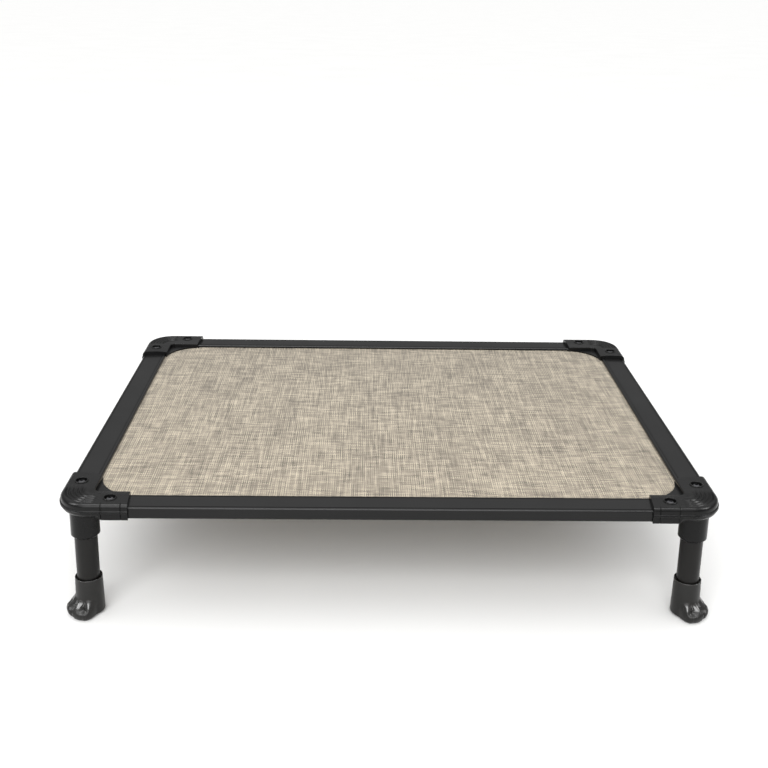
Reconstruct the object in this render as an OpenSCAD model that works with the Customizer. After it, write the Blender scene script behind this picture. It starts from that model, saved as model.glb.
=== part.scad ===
// Raised dog bed. Four aluminium rails hold a woven mat by the rods in its hems.
// Each corner is a cap and a base that clamp two rail ends with two bolts. A tube leg
// pushes up into each base, and a paw-shaped rubber foot pushes onto the tube.
// +X runs along the bed to the right, +Y to its back, +Z up.
// The origin is on the floor, under the middle of the bed.

/* [Bed] */
// Overall length over the corner connectors
bed_l = 813; // [500:1:1300]
// Overall width over the corner connectors
bed_w = 635; // [400:1:1000]
// Overall height from the floor to the top of the bolt bosses
bed_h = 163.5; // [140:1:350]

/* [Rails] */
// Width of the rail extrusion, seen from above
rail_w = 35; // [28:0.5:48]
// Height of the rail extrusion
rail_h = 14; // [12:0.5:22]
// Wall thickness of the extrusion
rail_wall = 1.3; // [1:0.1:2]
// Radius of the rail's two top edges
rail_edge_r = 2.2; // [0.5:0.1:2.5]
// Distance from each side face to the shadow groove on top
groove_in = 3.4; // [2.6:0.1:4]
// Width of the shadow groove
groove_w = 1.2; // [0.6:0.1:2]
// Depth of the shadow groove
groove_depth = 0.7; // [0.3:0.1:0.9]

/* [Mat] */
// Thickness of the woven mat
mat_t = 0.9; // [0.6:0.1:1.3]
// Depth of the mat's middle plane below the top of the rails
mat_drop = 4.7; // [4.6:0.1:6]
// Corner radius of the mat's cut outline
mat_corner_r = 58; // [50:1:66]
// Diameter of the plastic rod in each hem
rod_d = 3.6; // [2.5:0.1:4.2]
// Clearance round the hem in the rail's channel
hem_gap = 0.3; // [0.2:0.05:0.6]

/* [Corner connectors] */
// How far a connector stands out from the rails' outer faces
corner_proud = 4; // [3:0.1:6]
// Length of each arm, from the other rail's outer face
corner_arm = 86; // [80:1:110]
// Thickness of the connector's inner walls
corner_inner_wall = 2; // [1.5:0.1:3]
// Height of the cap above the top of the rails
cap_rise = 5.3; // [4.5:0.1:8]
// Radius of the cap's outer top edge
cap_outer_r = 4; // [1:0.1:4]
// Radius of the cap's inner top edge
cap_inner_r = 3; // [1:0.1:3.5]
// Thickness of the base's floor under the rails
base_floor = 2; // [1.4:0.1:3]
// Radius under the bend of the base
base_tuck_r = 8; // [2:0.5:9]
// Clearance between a connector and a rail
fit_gap = 0.2; // [0.1:0.05:0.4]
// Depth of the side faces behind the lips at the parting line
side_relief = 0.8; // [0.3:0.1:1.2]
// Height of each lip at the parting line
lip_h = 1.5; // [1:0.1:2]
// Radius of the web's curved edge between the two arms
web_r = 52; // [46:1:54]
// Thickness of the webs above and below the mat
web_t = 1.8; // [1.2:0.1:2.5]
// Number of ring grooves round the top of the bend
ring_count = 4; // [0:1:5]
// Spacing of the ring grooves
ring_pitch = 4.6; // [3:0.1:5]

/* [Bolts] */
// Thread diameter of the corner bolts
bolt_d = 6; // [5:1:6]
// Diameter of the bolt's button head
bolt_head_d = 11; // [9:0.1:12]
// Height of the bolt's head
bolt_head_h = 3.3; // [2.5:0.1:3.6]
// Distance from a bolt to the outer face of its rail
bolt_in = 16.2; // [14:0.1:18]
// Distance from a bolt to the other rail's outer face
bolt_along = 61.5; // [59:0.5:70]
// Height of the raised ring round each bolt head
boss_rise = 1.2; // [0.6:0.1:2]
// Width of a nut across its flats
nut_af = 10; // [8:1:10]
// Height of a nut
nut_h = 5; // [4:0.1:6]

/* [Legs] */
// Distance from the leg's axis to the outer faces of both rails
leg_in = 26.5; // [22:0.5:27]
// Outside diameter of the leg tube
tube_d = 28; // [22:0.5:30]
// Wall thickness of the leg tube
tube_wall = 1.5; // [1:0.1:2.5]
// Wall thickness of the socket round the tube
socket_wall = 3.65; // [2.5:0.05:4.5]
// Length of the socket below the connector
socket_drop = 34; // [20:1:60]

/* [Feet] */
// Height of a foot
foot_h = 50; // [45:1:70]
// Wall of the foot at its rim
foot_rim_wall = 2.75; // [2.4:0.05:4]
// Extra radius of the foot at the floor
foot_flare = 1.2; // [0:0.1:2]
// Thickness of rubber under the end of the tube
sole_t = 14; // [8:1:20]
// Reach of the longest toes from the leg's axis
toe_reach = 30; // [28:0.5:36]
// Radius of a toe
toe_r = 7; // [6:0.1:7.5]

/* [Hidden] */
$fn = 64;
over = 1;
rail_out_l = bed_l - 2 * corner_proud;
rail_out_w = bed_w - 2 * corner_proud;
rail_top = bed_h - boss_rise - cap_rise;

// Channel in the rail for the hem, measured from the rail's inner face
rod_gap = 0.1;
hem_bore_r = rod_d / 2 + rod_gap;
hem_r = hem_bore_r + mat_t;
channel_r = hem_r + hem_gap;
channel_in = channel_r + 1.3;
slot_h = mat_t + 4 * hem_gap;
groove_bridge = channel_in + channel_r + rail_wall;

// Mat, with its straight hems between the rounded corners
hem_from_edge = rail_w - channel_in;
sheet_from_edge = hem_from_edge + hem_bore_r + mat_t / 2;
sheet_l = rail_out_l - 2 * sheet_from_edge;
sheet_w = rail_out_w - 2 * sheet_from_edge;

// Connector, in a frame at the rails' outer corner: +X and +Y run inwards along the rails,
// and Z is 0 at the top of the rails
inner_face = rail_w + fit_gap + corner_inner_wall;
corner_w = inner_face + corner_proud;
mat_gap = 0.3;
cap_under = -mat_drop + mat_t / 2 + mat_gap;
base_top = -mat_drop - mat_t / 2 - mat_gap;
parting_gap = 0.2;
cap_skirt = base_top + parting_gap;
base_under = -rail_h - fit_gap - base_floor;
base_wall = 3;
arm_edge_r = 1.5;
corner_fillet = 8;
ring_first = 14;
ring_w = 1.6;
ring_depth = 0.6;
ridge_h = 1.2;
ridge_drop = 3.1;

// Rails stop short of the leg socket, against a wall of the base
socket_r = tube_d / 2 + socket_wall;
stop_wall = 2;
rail_end = leg_in + socket_r + stop_wall + fit_gap;
long_rail = rail_out_l - 2 * rail_end;
side_rail = rail_out_w - 2 * rail_end;

// Bolts and nuts
bolt_hole_r = bolt_d / 2 + 0.3;
head_recess_r = bolt_head_d / 2 + 1.3;
boss_r = head_recess_r + 1.9;
seat_z = cap_rise + boss_rise - bolt_head_h - 0.4;
nut_gap = 0.15;
nut_boss_r = nut_af / sqrt(3) + 2;
nut_end = 0.5;
nut_boss_z = base_under - nut_h - nut_end;
bolt_l = seat_z - nut_boss_z;
driver_af = 4;
driver_depth = 2;

// Legs and feet
tube_gap = 0.1;
tube_top = base_top - 6.25;
socket_chamfer = 3;
tube_l = rail_top + tube_top - sole_t;
foot_rim_r = tube_d / 2 + foot_rim_wall;
rim_gap = 1.5;
rim_depth = 3;
instep_r = 15.5;
instep_z = 9;
toe_centre = 9;
toe_angles = [-54, -18, 18, 54];
toe_sink = 0.6;
foot_turn = 225;

black_metal = [0.17, 0.17, 0.165];
black_plastic = [0.13, 0.13, 0.125];
black_rubber = [0.2, 0.2, 0.195];
mat_beige = [0.69, 0.64, 0.55];
rod_white = [0.85, 0.85, 0.82];
zinc = [0.55, 0.56, 0.58];

// Each rail: name, turn about Z, its length, and its outer face's distance from the middle
RAILS = [
    ["front", 0, long_rail, rail_out_w / 2],
    ["right", 90, side_rail, rail_out_l / 2],
    ["back", 180, long_rail, rail_out_w / 2],
    ["left", 270, side_rail, rail_out_l / 2]
];
// Each corner: name, and the side of the bed it is on along X and Y
CORNERS = [
    ["front_left", -1, -1],
    ["front_right", 1, -1],
    ["back_left", -1, 1],
    ["back_right", 1, 1]
];

// Places its children in the frame of a corner
module at_corner(corner)
    translate([corner[1] * rail_out_l / 2, corner[2] * rail_out_w / 2, rail_top])
        mirror([corner[1] > 0 ? 1 : 0, 0, 0])
            mirror([0, corner[2] > 0 ? 1 : 0, 0])
                children();

// Repeats its children on both arms of a corner
module both_arms() {
    children();
    mirror([1, -1, 0]) children();
}

// Places its children on both bolt axes of a corner
module at_bolts()
    both_arms() translate([bolt_along, bolt_in, 0]) children();

// Places its children on a leg's axis, with Z at 0 on the floor
module at_leg()
    translate([leg_in, leg_in, -rail_top]) children();

// Block of width w and height h with its two top corners rounded
module rounded_top(w, h, left_r, right_r) {
    square([w, h - max(left_r, right_r)]);
    translate([left_r, 0]) square([w - left_r - right_r, h]);
    rounded_end(left_r, h);
    translate([w, 0]) mirror([1, 0]) rounded_end(right_r, h);
}

// One end of that block, as wide as its radius
module rounded_end(r, h)
    if (r > 0)
        intersection() {
            square([r, h]);
            union() {
                square([r, h - r]);
                translate([r, h - r]) circle(r);
            }
        }

// Hexagonal prism, given across its flats
module hexagon(across_flats, h)
    cylinder(r = across_flats / sqrt(3), h = h, $fn = 6);

// ---- Rails ----

// Section of a rail, from its outer face at 0 to its inner face, with its top at 0
module rail_section() {
    difference() {
        translate([0, -rail_h]) rounded_top(rail_w, rail_h, rail_edge_r, rail_edge_r);
        // Main chamber
        translate([rail_wall, rail_wall - rail_h])
            square([rail_w - rail_wall - groove_bridge, rail_h - 2 * rail_wall - groove_depth / 2]);
        // Small chamber under the hem's channel
        translate([rail_w - groove_bridge + rail_wall, rail_wall - rail_h])
            square([groove_bridge - 2 * rail_wall, rail_h - mat_drop - channel_r - 2 * rail_wall]);
        // Channel and slot for the hem
        translate([hem_from_edge, -mat_drop]) circle(channel_r);
        translate([hem_from_edge, -mat_drop - slot_h / 2]) square([channel_in + over, slot_h]);
        // Shadow grooves along both edges
        for (u = [groove_in, rail_w - groove_in - groove_w])
            translate([u, -groove_depth]) square([groove_w, groove_depth + over]);
    }
}

module rail(rail_spec) {
    length = rail_spec[2];
    color(black_metal)
        rotate([0, 0, rail_spec[1]])
            translate([0, -rail_spec[3], rail_top])
                difference() {
                    translate([-length / 2, 0, 0])
                        rotate([90, 0, 90])
                            linear_extrude(length) rail_section();
                    for (side = [-1, 1])
                        translate([side * (length / 2 - bolt_along + rail_end), bolt_in, -rail_h - over])
                            cylinder(r = bolt_hole_r, h = rail_h + 2 * over);
                }
}

// ---- Mat and hem rods ----

// Length of a hem between the mat's rounded corners
function hem_length(rail_spec) =
    rail_spec[2] + 2 * rail_end - 2 * (sheet_from_edge + mat_corner_r);

// Round bar or tube along a rail's channel
module along_channel(rail_spec, r)
    rotate([0, 0, rail_spec[1]])
        translate([-hem_length(rail_spec) / 2, hem_from_edge - rail_spec[3], rail_top - mat_drop])
            rotate([0, 90, 0])
                cylinder(r = r, h = hem_length(rail_spec));

module hem_rod(rail_spec)
    color(rod_white) along_channel(rail_spec, rod_d / 2);

module mat_outline() {
    square([sheet_l - 2 * mat_corner_r, sheet_w], center = true);
    square([sheet_l, sheet_w - 2 * mat_corner_r], center = true);
    for (x = [-1, 1], y = [-1, 1])
        translate([x * (sheet_l / 2 - mat_corner_r), y * (sheet_w / 2 - mat_corner_r)])
            circle(mat_corner_r);
}

module mat()
    color(mat_beige)
        difference() {
            union() {
                translate([0, 0, rail_top - mat_drop - mat_t / 2])
                    linear_extrude(mat_t) mat_outline();
                for (r = RAILS) along_channel(r, hem_r);
            }
            for (r = RAILS) along_channel(r, hem_bore_r);
        }

// ---- Corner connectors ----

// Extrudes a connector section along both arms, from the bend to the arms' ends
module along_arms()
    both_arms()
        translate([corner_arm, inner_face, 0])
            rotate([90, 0, -90])
                linear_extrude(corner_arm - inner_face) children();

// Turns a connector section round the bend
module round_bend()
    translate([inner_face, inner_face, 0])
        rotate([0, 0, 180])
            rotate_extrude(angle = 90) children();

// Outline of the web between the two arms
module web_outline()
    translate([inner_face, inner_face])
        difference() {
            square(corner_arm - inner_face);
            translate([web_r, web_r]) circle(web_r);
        }

// Small fillet where the two arms' inner walls meet
module fillet_outline()
    translate([inner_face, inner_face])
        difference() {
            square(corner_fillet);
            translate([corner_fillet, corner_fillet]) circle(corner_fillet);
        }

// Section of the cap. The inner walls are only on the arms.
module cap_section(inner_r) {
    side = corner_w - side_relief;
    difference() {
        union() {
            translate([0, cap_skirt])
                rounded_top(side, cap_rise - cap_skirt, inner_r, cap_outer_r);
            translate([side - base_wall + over, cap_skirt])
                square([side_relief + base_wall - over, lip_h]);
        }
        rail_space_from = inner_r > 0 ? corner_inner_wall : 0;
        translate([rail_space_from, cap_skirt - over])
            square([inner_face + fit_gap - rail_space_from, fit_gap - cap_skirt + over]);
        translate([0, cap_skirt - over])
            square([corner_inner_wall + over, cap_under - cap_skirt + over]);
    }
}

module corner_cap() {
    color(black_plastic)
        difference() {
            union() {
                along_arms() cap_section(cap_inner_r);
                round_bend() cap_section(0);
                translate([0, 0, cap_under])
                    linear_extrude(web_t) web_outline();
                translate([0, 0, cap_under])
                    linear_extrude(cap_rise - cap_inner_r - cap_under) fillet_outline();
                at_bolts()
                    translate([0, 0, cap_rise - over])
                        cylinder(r1 = boss_r + over, r2 = boss_r - boss_rise / 2, h = boss_rise + over);
            }
            at_bolts() {
                translate([0, 0, seat_z]) cylinder(r = head_recess_r, h = cap_rise);
                translate([0, 0, -over]) cylinder(r = bolt_hole_r, h = cap_rise);
            }
            ring_grooves();
        }
}

// Grooves on the cap that follow the bend
module ring_grooves()
    for (i = [0 : 1 : ring_count - 1])
        translate([0, 0, cap_rise - ring_depth])
            round_bend()
                translate([ring_first + i * ring_pitch, 0])
                    square([ring_w, ring_depth + over]);

// Section of the base, solid, with the given radius under its outer edge
module base_section(under_r) {
    side = corner_w - side_relief;
    translate([0, base_top])
        mirror([0, 1])
            rounded_top(side, base_top - base_under, 0, under_r);
    translate([side - over, base_top - lip_h])
        square([side_relief + over, lip_h]);
    translate([side - over, base_top - ridge_drop - ridge_h])
        square([side_relief / 2 + over, ridge_h]);
}

// Hollow round the socket, in plan
module core_outline() {
    reach = corner_w - side_relief - base_wall;
    stop_face = rail_end - fit_gap - stop_wall;
    difference() {
        union() {
            translate([inner_face, inner_face])
                intersection() {
                    circle(reach);
                    translate([-reach, -reach]) square(reach);
                }
            for (turned = [0, 1])
                mirror([turned, -turned])
                    translate([inner_face - over, inner_face - reach])
                        square([stop_face - inner_face + over, reach - corner_inner_wall]);
        }
        translate([leg_in, leg_in]) circle(socket_r);
        // Ribs from the socket to the walls
        for (turned = [0, 1])
            mirror([turned, -turned])
                translate([inner_face - reach - over, leg_in - stop_wall / 2])
                    square([2 * reach, stop_wall]);
    }
}

module corner_base() {
    color(black_plastic)
        difference() {
            union() {
                along_arms() base_section(arm_edge_r);
                round_bend() base_section(base_tuck_r);
                translate([0, 0, base_top - web_t])
                    linear_extrude(web_t) web_outline();
                translate([0, 0, base_under])
                    linear_extrude(base_top - base_under) fillet_outline();
                translate([leg_in, leg_in, base_under - socket_drop]) {
                    cylinder(r1 = socket_r - socket_chamfer / 2, r2 = socket_r, h = socket_chamfer);
                    translate([0, 0, socket_chamfer])
                        cylinder(r = socket_r, h = socket_drop - socket_chamfer + base_floor);
                }
                at_bolts()
                    translate([0, 0, nut_boss_z])
                        cylinder(r = nut_boss_r, h = base_under - nut_boss_z + base_floor);
            }
            both_arms() rail_pocket();
            translate([0, 0, base_under + base_floor])
                linear_extrude(rail_h) core_outline();
            translate([leg_in, leg_in, base_under - socket_drop - over])
                cylinder(r = tube_d / 2 + tube_gap, h = tube_top - base_under + socket_drop + over);
            at_bolts() {
                translate([0, 0, nut_boss_z - over]) cylinder(r = bolt_hole_r, h = rail_h + nut_h);
                translate([0, 0, nut_boss_z - over])
                    hexagon(nut_af + 2 * nut_gap, base_under - nut_boss_z + over);
            }
        }
}

// Space for a rail's end in the base
module rail_pocket()
    translate([rail_end - fit_gap, -fit_gap, -rail_h - fit_gap])
        cube([corner_arm, rail_w + 2 * fit_gap, rail_h]);

// ---- Bolts and nuts ----

module bolt() {
    dome_r = (pow(bolt_head_d / 2, 2) + pow(bolt_head_h, 2)) / (2 * bolt_head_h);
    difference() {
        union() {
            translate([0, 0, seat_z])
                intersection() {
                    cylinder(d = bolt_head_d, h = bolt_head_h);
                    translate([0, 0, bolt_head_h - dome_r]) sphere(dome_r);
                }
            translate([0, 0, seat_z - bolt_l]) cylinder(d = bolt_d, h = bolt_l + over);
        }
        translate([0, 0, seat_z + bolt_head_h - driver_depth]) hexagon(driver_af, driver_depth + over);
    }
}

module nut()
    translate([0, 0, base_under - nut_h])
        difference() {
            hexagon(nut_af, nut_h);
            translate([0, 0, -over]) cylinder(r = bolt_d / 2 + 0.05, h = nut_h + 2 * over);
        }

module corner_bolts()
    color(zinc)
        for (c = CORNERS) at_corner(c) at_bolts() bolt();

module corner_nuts()
    color(zinc)
        for (c = CORNERS) at_corner(c) at_bolts() nut();

// ---- Legs and feet ----

module leg_tube()
    color(black_metal)
        at_leg()
            translate([0, 0, sole_t])
                difference() {
                    cylinder(d = tube_d, h = tube_l);
                    translate([0, 0, -over])
                        cylinder(r = tube_d / 2 - tube_wall, h = tube_l + 2 * over);
                }

module paw_foot() {
    ring = toe_reach - toe_r - toe_centre;
    color(black_rubber)
        at_leg()
            difference() {
                union() {
                    cylinder(r1 = foot_rim_r + foot_flare, r2 = foot_rim_r, h = foot_h);
                    rotate([0, 0, foot_turn]) {
                        translate([toe_centre, 0, instep_z]) sphere(instep_r);
                        for (a = toe_angles)
                            translate([toe_centre, 0, toe_r - toe_sink])
                                rotate([0, 0, a])
                                    translate([ring, 0, 0]) sphere(toe_r);
                    }
                }
                translate([0, 0, sole_t]) cylinder(r = tube_d / 2 + tube_gap, h = foot_h);
                translate([0, 0, foot_h - rim_depth])
                    cylinder(r = tube_d / 2 + rim_gap, h = rim_depth + over);
                // Flat sole
                translate([-2 * toe_reach, -2 * toe_reach, -2 * instep_r])
                    cube([4 * toe_reach, 4 * toe_reach, 2 * instep_r]);
            }
}

mat();
for (r = RAILS) {
    rail(r);
    hem_rod(r);
}
for (c = CORNERS) at_corner(c) {
    corner_cap();
    corner_base();
    leg_tube();
    paw_foot();
}
corner_bolts();
corner_nuts();
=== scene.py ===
# %% [markdown]
# # A raised dog bed
# Four black aluminium rails stretch a woven mat. Moulded connectors clamp the rails at the corners, steel
# tubes make the legs, and soft rubber paws keep them quiet on the floor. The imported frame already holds
# every part at its true size. This lesson gives each part its finish, and builds the ones whose shape is
# softer than the frame shows: the connectors, the paws, the bolts and the mat.

# %% Load the frame
import math

import bmesh
import bpy
import numpy as np
from mathutils import Matrix, Vector


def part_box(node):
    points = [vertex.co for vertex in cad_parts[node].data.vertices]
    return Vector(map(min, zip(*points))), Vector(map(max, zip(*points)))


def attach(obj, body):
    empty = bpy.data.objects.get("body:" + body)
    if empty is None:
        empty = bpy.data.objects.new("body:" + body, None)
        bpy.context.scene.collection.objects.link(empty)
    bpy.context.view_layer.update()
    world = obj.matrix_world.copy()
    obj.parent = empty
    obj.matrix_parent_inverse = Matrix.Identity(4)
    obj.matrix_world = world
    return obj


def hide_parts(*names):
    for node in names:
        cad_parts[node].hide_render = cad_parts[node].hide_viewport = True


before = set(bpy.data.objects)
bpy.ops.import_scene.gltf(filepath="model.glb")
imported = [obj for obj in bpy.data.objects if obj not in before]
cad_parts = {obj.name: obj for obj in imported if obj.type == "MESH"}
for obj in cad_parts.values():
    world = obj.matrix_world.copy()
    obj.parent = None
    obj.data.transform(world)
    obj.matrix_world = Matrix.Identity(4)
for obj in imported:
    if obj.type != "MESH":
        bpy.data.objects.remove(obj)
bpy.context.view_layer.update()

MM = 0.001
BODY = "root"

# %% [markdown]
# ## Measures
# A piece goes where the frame says, so the sizes that tie it to its neighbours are read from the frame's
# own boxes. Heights are given from the top of the rails, and places in a connector from the outer corner
# of the rails.

# %% Read the sizes that the new pieces must fit
front_low, front_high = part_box("rail_front")
left_low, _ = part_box("rail_left")
cap_low, cap_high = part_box("corner_cap_front_left")
base_low, base_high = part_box("corner_base_front_left")
tube_low, tube_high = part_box("leg_tube_front_left")

RAIL_TOP = front_high.z / MM
OUTER_X = -left_low.x / MM
OUTER_Y = -front_low.y / MM
RAIL_W = (front_high.y - front_low.y) / MM
PROUD = -cap_low.x / MM - OUTER_X
ARM = cap_high.x / MM + OUTER_X
LEG_IN = (tube_low.x + tube_high.x) / 2 / MM + OUTER_X
TUBE_R = (tube_high.x - tube_low.x) / 2 / MM
BOSS_TOP = cap_high.z / MM - RAIL_TOP
CAP_SKIRT = cap_low.z / MM - RAIL_TOP
BASE_TOP = base_high.z / MM - RAIL_TOP
SOCKET_END = base_low.z / MM - RAIL_TOP
print("rail top", RAIL_TOP, "arm", ARM, "leg in", LEG_IN, "boss", BOSS_TOP, "skirt", CAP_SKIRT)

# %% [markdown]
# ## Camera
# A long lens a little above the bed shows the mat, the front rail and the paws together. The lens is
# shifted by a tenth of the frame, and the camera leans by about one degree.

# %% Place the camera
PITCH, YAW, ROLL = 0.29305, -0.02025, -0.01606  # radians
PLACE = (-0.0371, -1.4856, 0.7740)  # metres
camera_data = bpy.data.cameras.new("camera")
camera_data.sensor_width = 36
camera_data.lens = 50.672
camera_data.shift_y = -0.109375
camera = bpy.data.objects.new("camera", camera_data)
bpy.context.collection.objects.link(camera)
bpy.context.scene.camera = camera

# The three angles, turned into the camera's own axes.
level = Vector((math.cos(YAW), math.sin(YAW), 0))
ahead = Vector((-math.sin(YAW), math.cos(YAW), 0))
forward = ahead * math.cos(PITCH) - Vector((0, 0, 1)) * math.sin(PITCH)
upward = ahead * math.sin(PITCH) + Vector((0, 0, 1)) * math.cos(PITCH)
right = level * math.cos(ROLL) - upward * math.sin(ROLL)
top = upward * math.cos(ROLL) + level * math.sin(ROLL)
turn = Matrix((right, top, -forward)).transposed()
camera.matrix_world = Matrix.Translation(PLACE) @ turn.to_4x4()

# %% [markdown]
# ## Floor and light
# A white floor under a bright ceiling lights the cloth evenly. The walls of this studio are grey, because
# flat black plastic seen at a low angle mirrors the wall behind it, and a white one would wash it out. A
# strip overhead draws the long highlights along the rounded edges, a wide softbox in front fills their
# sides, and a strip on each side glints in the paws.

# %% Make the floor, the walls and the ceiling
CEILING, WALL = 1.4, 0.22  # brightness straight up, and the walls' share of it
bpy.context.scene.view_settings.view_transform = "Standard"
floor_mesh = bpy.data.meshes.new("floor")
floor_mesh.from_pydata([(-60, -60, 0), (60, -60, 0), (60, 60, 0), (-60, 60, 0)], [], [(0, 1, 2, 3)])
floor = bpy.data.objects.new("floor", floor_mesh)
bpy.context.collection.objects.link(floor)

world = bpy.data.worlds.new("studio")
bpy.context.scene.world = world
world.use_nodes = True
sky = world.node_tree
up = sky.nodes.new("ShaderNodeSeparateXYZ")
sky.links.new(sky.nodes.new("ShaderNodeTexCoord").outputs["Generated"], up.inputs[0])
walls = sky.nodes.new("ShaderNodeValToRGB")
sky.links.new(up.outputs["Z"], walls.inputs["Fac"])
sky.links.new(walls.outputs["Color"], sky.nodes["Background"].inputs["Color"])
sky.nodes["Background"].inputs["Strength"].default_value = CEILING
shades = walls.color_ramp
shades.elements[0].position, shades.elements[0].color = 0.0, (0.55, 0.55, 0.55, 1)
shades.elements[1].position, shades.elements[1].color = 0.72, (1, 1, 1, 1)
for height, shade in ((0.04, WALL), (0.36, WALL)):
    shades.elements.new(height).color = (shade, shade, shade, 1)


def softbox(name, place, target, size, watts):
    """A soft rectangular lamp that faces its target."""
    light = bpy.data.lights.new(name, "AREA")
    light.shape = "RECTANGLE"
    light.size, light.size_y = size
    light.energy = watts
    lamp = bpy.data.objects.new(name, light)
    lamp.location = place
    lamp.rotation_euler = (Vector(target) - Vector(place)).to_track_quat("-Z", "Y").to_euler()
    bpy.context.collection.objects.link(lamp)
    return lamp


# The narrow lamps are only for highlights on the bed, so they leave the floor out.
all_but_floor = bpy.data.collections.new("all_but_floor")
all_but_floor.objects.link(floor)
all_but_floor.collection_objects[0].light_linking.link_state = "EXCLUDE"


softbox("front", (-0.5, -2.6, 1.8), (0, 0, 0.1), (2.6, 2.0), 70)
for strip in (
    softbox("overhead", (-0.1, -0.75, 2.0), (0, 0, 0.1), (2.2, 0.6), 40),
    softbox("left", (-2.0, -0.8, 1.5), (-0.4, -0.3, 0), (0.5, 1.0), 24),
    softbox("right", (2.0, -0.8, 1.5), (0.4, -0.3, 0), (0.5, 1.0), 24),
):
    strip.light_linking.receiver_collection = all_but_floor

# %% [markdown]
# ## Tools for materials
# Every material is a small tree of nodes. One function adds a node with its settings and its links, and
# another turns a colour as a designer writes it, sRGB hex, into the linear light that shading is worked
# out in.

# %% Node and colour helpers


def linear(hex_colour):
    """sRGB hex, such as "#bbae9c", as linear RGBA."""
    channels = [int(hex_colour[i : i + 2], 16) / 255 for i in (1, 3, 5)]
    return [c / 12.92 if c <= 0.04045 else ((c + 0.055) / 1.055) ** 2.4 for c in channels] + [1.0]


def add(tree, kind, settings=None, **sockets):
    """Adds a node. Settings are its own properties; each socket takes a value or another node's output."""
    node = tree.nodes.new(kind)
    for key, value in (settings or {}).items():
        setattr(node, key, value)
    for name, value in sockets.items():
        socket = node.inputs[int(name[1:])] if name[1:].isdigit() else node.inputs[name.replace("_", " ")]
        if isinstance(value, bpy.types.NodeSocket):
            tree.links.new(value, socket)
        else:
            socket.default_value = value
    return node


def material(name, **shader):
    """A material with one Principled shader, and its tree and shader."""
    made = bpy.data.materials.new(name)
    made.use_nodes = True
    tree = made.node_tree
    body = tree.nodes["Principled BSDF"]
    for socket, value in shader.items():
        body.inputs[socket.replace("_", " ")].default_value = value
    return made, tree, body


def per_mm(millimetres):
    """Texture scale at which one feature is this many millimetres, on coordinates in metres."""
    return 1 / (millimetres * MM)


# %% [markdown]
# ## Floor finish
# Plain white seamless paper. Its only texture is a faint cloudiness in tone.

# %% White studio paper
paper, tree, shader = material("seamless_paper", Roughness=0.9)
where = add(tree, "ShaderNodeTexCoord").outputs["Object"]
cloud = add(tree, "ShaderNodeTexNoise", Vector=where, Scale=per_mm(400), Detail=2.0)
tone = add(tree, "ShaderNodeValToRGB", Fac=cloud.outputs["Fac"])
tone.color_ramp.elements[0].color = linear("#f6f6f5")
tone.color_ramp.elements[1].color = linear("#fcfcfb")
tree.links.new(tone.outputs["Color"], shader.inputs["Base Color"])
floor.data.materials.append(paper)

# %% [markdown]
# ## Black finishes
# Powder coat, moulded nylon and rubber are all nearly black, and differ in their surface. Powder coat has
# a fine orange peel and a soft gloss. Moulded nylon has a spark-eroded grain under its gloss. Rubber is
# the dullest. Each gets its grain from noise at a real size in millimetres, and a slow, faint change of
# gloss, as handling gives.


# %% One recipe for a grained black, with its numbers for each finish
def grained(name, dark, light, grain_mm, grain_height, gloss, coarse_mm, ior):
    """A near-black surface: two tones, a fine grain in relief, and gloss between two roughness values."""
    made, tree, shader = material(name, IOR=ior)
    where = add(tree, "ShaderNodeTexCoord").outputs["Object"]
    slow = add(tree, "ShaderNodeTexNoise", Vector=where, Scale=per_mm(coarse_mm), Detail=3.0)
    tones = add(tree, "ShaderNodeValToRGB", Fac=slow.outputs["Fac"])
    tones.color_ramp.elements[0].position = 0.3
    tones.color_ramp.elements[0].color = linear(dark)
    tones.color_ramp.elements[1].position = 0.7
    tones.color_ramp.elements[1].color = linear(light)
    tree.links.new(tones.outputs["Color"], shader.inputs["Base Color"])
    rough = add(tree, "ShaderNodeMapRange", Value=slow.outputs["Fac"], From_Min=0.3, From_Max=0.7,
                To_Min=gloss[0], To_Max=gloss[1])
    tree.links.new(rough.outputs["Result"], shader.inputs["Roughness"])
    grain = add(tree, "ShaderNodeTexNoise", Vector=where, Scale=per_mm(grain_mm), Detail=2.0)
    relief = add(tree, "ShaderNodeBump", Height=grain.outputs["Fac"], Strength=1.0,
                 Distance=grain_height * MM)
    tree.links.new(relief.outputs["Normal"], shader.inputs["Normal"])
    return made


# Polyester powder coat on extruded aluminium: satin, with a fine orange peel that breaks up reflections.
RAIL_COAT = grained("powder_coated_aluminium", "#090909", "#0d0d0d", 1.2, 0.012, (0.18, 0.24), 60, 1.32)
# The same powder on steel tube, slightly duller.
TUBE_COAT = grained("powder_coated_steel", "#0f0e0d", "#131211", 1.2, 0.015, (0.32, 0.4), 40, 1.29)
# Glass-filled nylon from a textured mould: even and deep, with soft highlights along its edges.
NYLON = grained("moulded_nylon", "#070707", "#0b0b0b", 0.9, 0.02, (0.24, 0.3), 25, 1.28)
# Moulded thermoplastic rubber: matte, with a faint bloom. The mould is polished in the hollows between the
# toes and along the rim, where a thin clear gloss brings out small white glints.
RUBBER = grained("moulded_rubber", "#131312", "#1a1918", 0.8, 0.02, (0.32, 0.42), 18, 1.36)
tree = RUBBER.node_tree
shader = tree.nodes["Principled BSDF"]
matte = shader.inputs["Roughness"].links[0].from_socket
polished = add(tree, "ShaderNodeAttribute", {"attribute_name": "polish"})
gloss = add(tree, "ShaderNodeMix", Factor=polished.outputs["Fac"], _2=matte, _3=0.05)
tree.links.new(gloss.outputs[0], shader.inputs["Roughness"])
tree.links.new(polished.outputs["Fac"], shader.inputs["Coat Weight"])
shader.inputs["Coat IOR"].default_value = 1.7
shader.inputs["Coat Roughness"].default_value = 0.08

# %% [markdown]
# ## Bolt steel and hem rod
# The bolts are steel, blacked and oiled, so that they glint without shining white. The rods in the hems
# are plain extruded polyethylene: milky, with faint draw lines along their length.

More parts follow.
